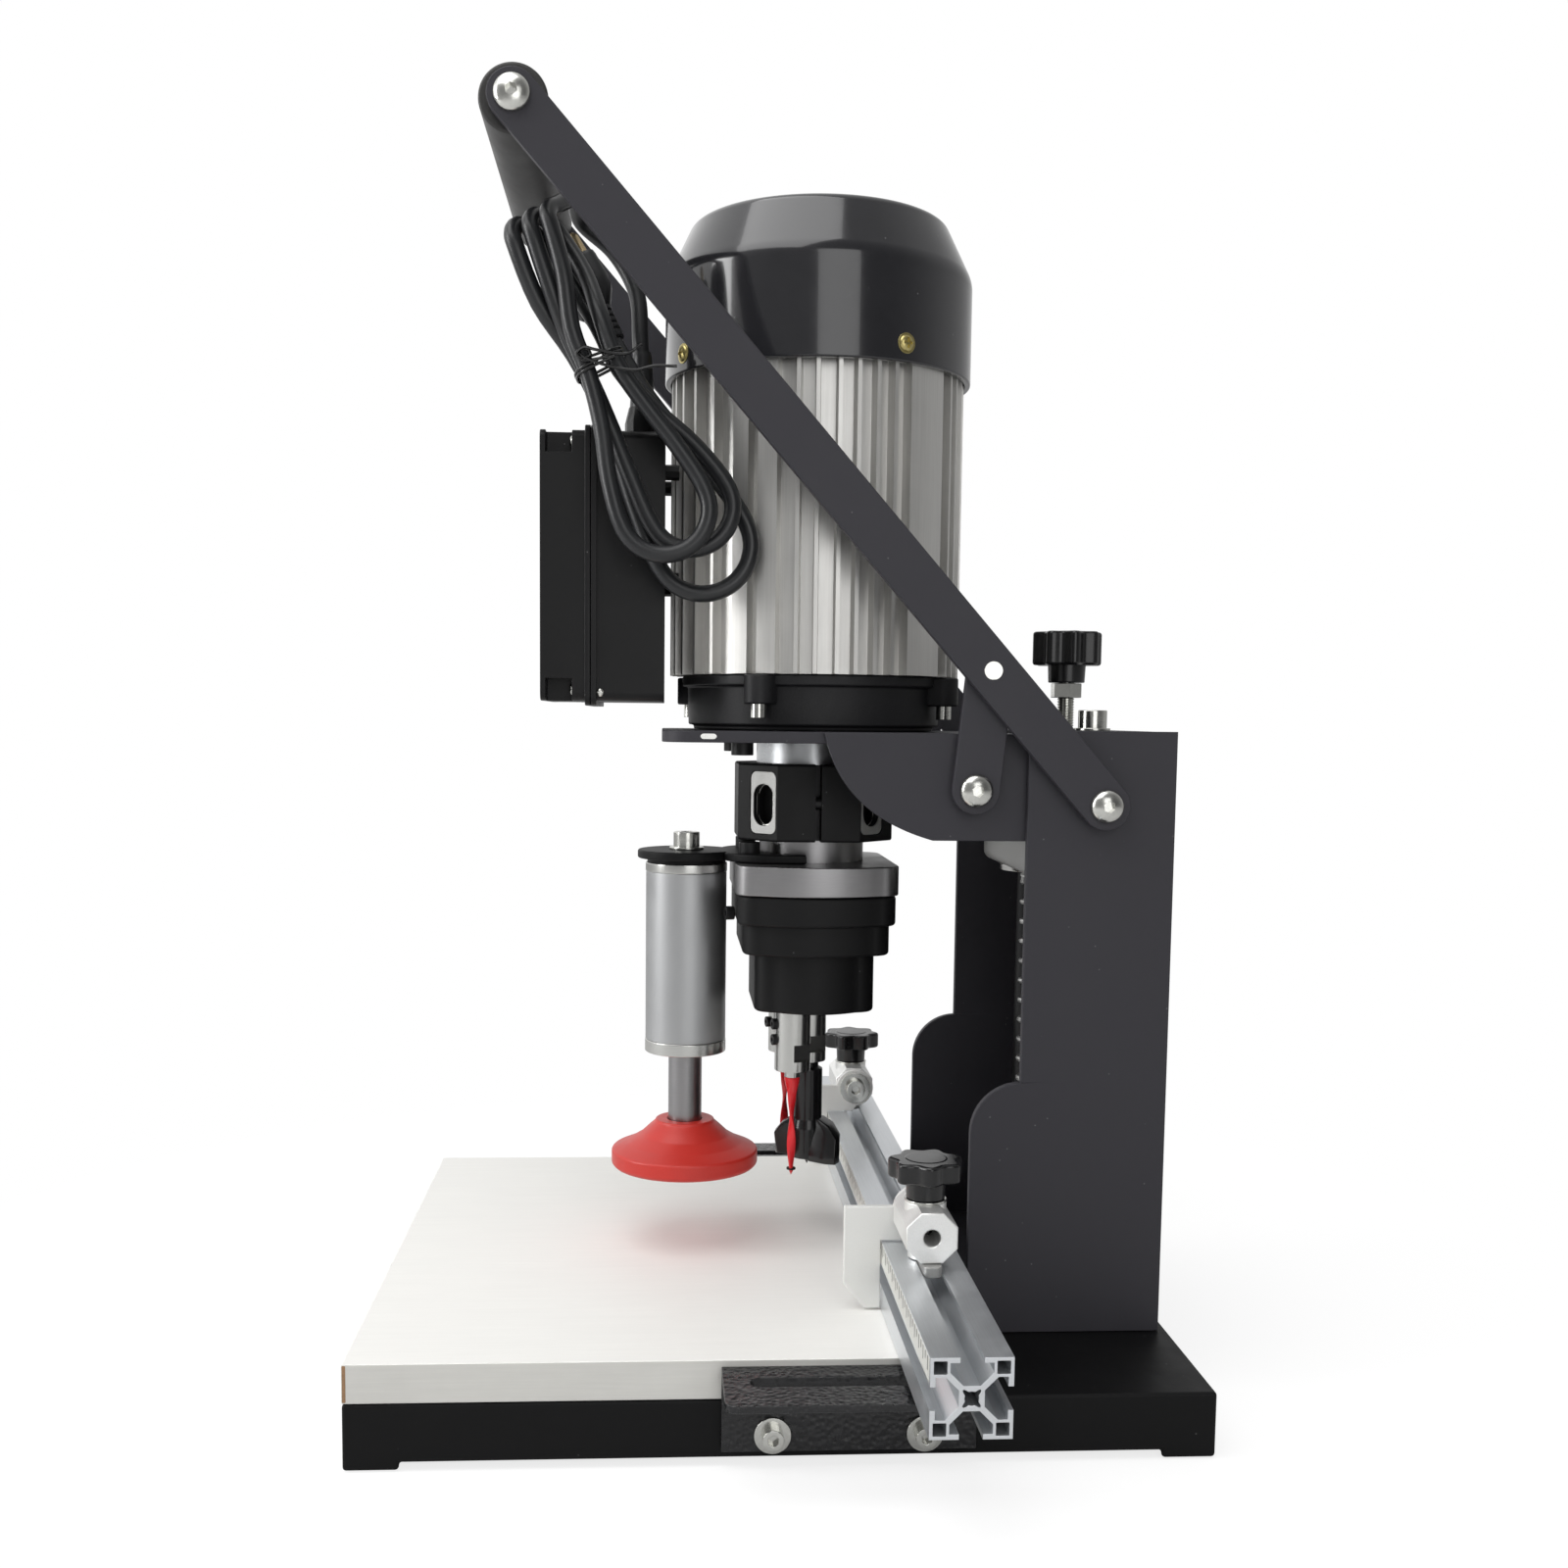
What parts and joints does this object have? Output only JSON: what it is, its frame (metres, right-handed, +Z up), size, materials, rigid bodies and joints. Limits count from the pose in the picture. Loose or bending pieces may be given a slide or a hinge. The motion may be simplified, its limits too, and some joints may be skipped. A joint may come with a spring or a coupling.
{
  "type": "hinge boring machine",
  "caption": "Bench hinge boring machine with lever feed, finned motor, multi-spindle head, spring work clamp, white table board and slotted fence with flip stops.",
  "frame": {"origin": "centre of the base on the bench surface", "axes": "+Z up, -Y towards the operator, +X to the operator's right along the fence"},
  "size_m": [0.45, 0.35, 0.5598],
  "materials": {
    "charcoal_powder_coat": "fine matt powder coat",
    "black_coat": "satin to hammered black coat",
    "white_melamine": "lightly grained white laminate",
    "ground_steel": "ground and polished",
    "spring_steel": "blackened",
    "aluminium": "extruded and machined",
    "satin_aluminium": "bead blasted",
    "cast_black": "black paint over a casting",
    "gloss_black": "high gloss",
    "black_plastic": "moulded, slightly textured",
    "red_plastic": "moulded, satin",
    "red_coat": "gloss coat on steel",
    "winding": "varnished winding in laminated steel",
    "cord_rubber": "smooth matt sheath"
  },
  "bodies": {
    "frame": {"base_frame": "black_coat", "table_board": "white_melamine", "column_shell": "charcoal_powder_coat", "column_top_plate": "charcoal_powder_coat", "guide_shaft_R": "ground_steel", "guide_shaft_L": "ground_steel", "return_spring": "spring_steel", "fence_bracket_R": "black_coat", "fence_bracket_L": "black_coat", "pivot_bolt_R": "ground_steel", "pivot_bolt_L": "ground_steel"},
    "carriage": {"slide_block": "aluminium", "slide_bearing_R": "ground_steel", "slide_bearing_L": "ground_steel", "gusset_R": "charcoal_powder_coat", "gusset_L": "charcoal_powder_coat", "link_bolt_R": "ground_steel", "link_bolt_L": "ground_steel", "motor_plate": "charcoal_powder_coat", "motor_flange": "cast_black", "motor_spigot": "aluminium", "motor_shell": "aluminium", "motor_stator": "winding", "motor_end_bell": "cast_black", "fan_cover": "gloss_black", "control_box_body": "black_plastic", "control_box_lid": "black_plastic", "clamp_collar": "cast_black", "head_plate": "aluminium", "gear_housing": "cast_black", "clamp_bracket": "black_coat", "clamp_barrel": "satin_aluminium", "cord_lead": "cord_rubber", "cord_hank": "cord_rubber", "mains_plug": "black_plastic"},
    "lever": {"lever_arm_R": "charcoal_powder_coat", "lever_arm_L": "charcoal_powder_coat", "handle_grip": "black_coat"},
    "links": {"link_R": "charcoal_powder_coat", "link_L": "charcoal_powder_coat"},
    "clamp": {"clamp_rod": "ground_steel", "clamp_pad": "red_plastic"},
    "drive": {"motor_rotor": "ground_steel", "cooling_fan": "black_plastic", "drive_spindle": "ground_steel", "boring_bit": "cast_black"},
    "side_R": {"side_spindle_R": "ground_steel", "side_bit_R": "red_coat"},
    "side_L": {"side_spindle_L": "ground_steel", "side_bit_L": "red_coat"},
    "rocker": {"power_switch": "black_plastic"},
    "fence": {"fence_profile": "aluminium"},
    "stop_R": {"stop_block_R": "aluminium"},
    "stop_L": {"stop_block_L": "aluminium"},
    "flag_R": {"stop_flag_R": "white_melamine"},
    "flag_L": {"stop_flag_L": "white_melamine"},
    "knob_R": {"stop_knob_R": "black_plastic"},
    "knob_L": {"stop_knob_L": "black_plastic"},
    "depth_stud": {"depth_stud": "ground_steel"},
    "depth_knob": {"depth_knob": "black_plastic"}
  },
  "joints": [
    {"name": "carriage_slide", "type": "slide", "parent": "frame", "child": "carriage", "axis": [0, 0, -1], "range_m": [0, 0.035], "stiffness_N_per_m": 3000, "springref_m": -0.095, "deforming": ["return_spring"]},
    {"name": "lever_swing", "type": "hinge", "parent": "frame", "child": "lever", "pos_m": [0, 0.1385, 0.261], "axis": [1, 0, 0], "range_deg": [0, 34.7]},
    {"name": "link_swing", "type": "hinge", "parent": "carriage", "child": "links", "pos_m": [0, 0.0833, 0.267], "axis": [1, 0, 0], "range_deg": [0, 29.1]},
    {"name": "clamp_slide", "type": "slide", "parent": "carriage", "child": "clamp", "axis": [0, 0, 1], "range_m": [0, 0.025], "stiffness_N_per_m": 1500, "springref_m": -0.02},
    {"name": "drive_spin", "type": "hinge", "parent": "carriage", "child": "drive", "pos_m": [0, 0.0205, 0], "axis": [0, 0, 1], "continuous": true},
    {"name": "side_R_spin", "type": "hinge", "parent": "carriage", "child": "side_R", "pos_m": [0.0225, 0.011, 0], "axis": [0, 0, 1], "continuous": true},
    {"name": "side_L_spin", "type": "hinge", "parent": "carriage", "child": "side_L", "pos_m": [-0.0225, 0.011, 0], "axis": [0, 0, 1], "continuous": true},
    {"name": "switch_rock", "type": "hinge", "parent": "carriage", "child": "rocker", "pos_m": [0, -0.105, 0.372], "axis": [-1, 0, 0], "range_deg": [0, 11]},
    {"name": "fence_slide", "type": "slide", "parent": "frame", "child": "fence", "axis": [0, 1, 0], "range_m": [-0.005, 0.006]},
    {"name": "stop_R_slide", "type": "slide", "parent": "fence", "child": "stop_R", "axis": [1, 0, 0], "range_m": [-0.04, 0.085]},
    {"name": "stop_L_slide", "type": "slide", "parent": "fence", "child": "stop_L", "axis": [1, 0, 0], "range_m": [-0.05, 0.073]},
    {"name": "flag_R_flip", "type": "hinge", "parent": "stop_R", "child": "flag_R", "pos_m": [0, 0.0595, 0.0878], "axis": [-1, 0, 0], "range_deg": [0, 110]},
    {"name": "flag_L_flip", "type": "hinge", "parent": "stop_L", "child": "flag_L", "pos_m": [0, 0.0595, 0.0878], "axis": [-1, 0, 0], "range_deg": [0, 110]},
    {"name": "knob_R_turn", "type": "hinge", "parent": "stop_R", "child": "knob_R", "pos_m": [0.1175, 0.0595, 0.1], "axis": [0, 0, 1], "continuous": true},
    {"name": "knob_L_turn", "type": "hinge", "parent": "stop_L", "child": "knob_L", "pos_m": [-0.1545, 0.0595, 0.1], "axis": [0, 0, 1], "continuous": true},
    {"name": "depth_rise", "type": "slide", "parent": "frame", "child": "depth_stud", "axis": [0, 0, 1], "range_m": [0, 0.008]},
    {"name": "depth_turn", "type": "hinge", "parent": "depth_stud", "child": "depth_knob", "pos_m": [0, 0.142, 0.32], "axis": [0, 0, 1], "range_deg": [0, 2304]}
  ],
  "couplings": [
    {"joint": "lever_swing", "follows": "carriage_slide", "rad_per_m": 17.29},
    {"joint": "link_swing", "follows": "carriage_slide", "rad_per_m": 14.47},
    {"joint": "side_R_spin", "follows": "drive_spin", "ratio": -1},
    {"joint": "side_L_spin", "follows": "drive_spin", "ratio": -1},
    {"joint": "depth_turn", "follows": "depth_rise", "rad_per_m": 5026.5}
  ]
}
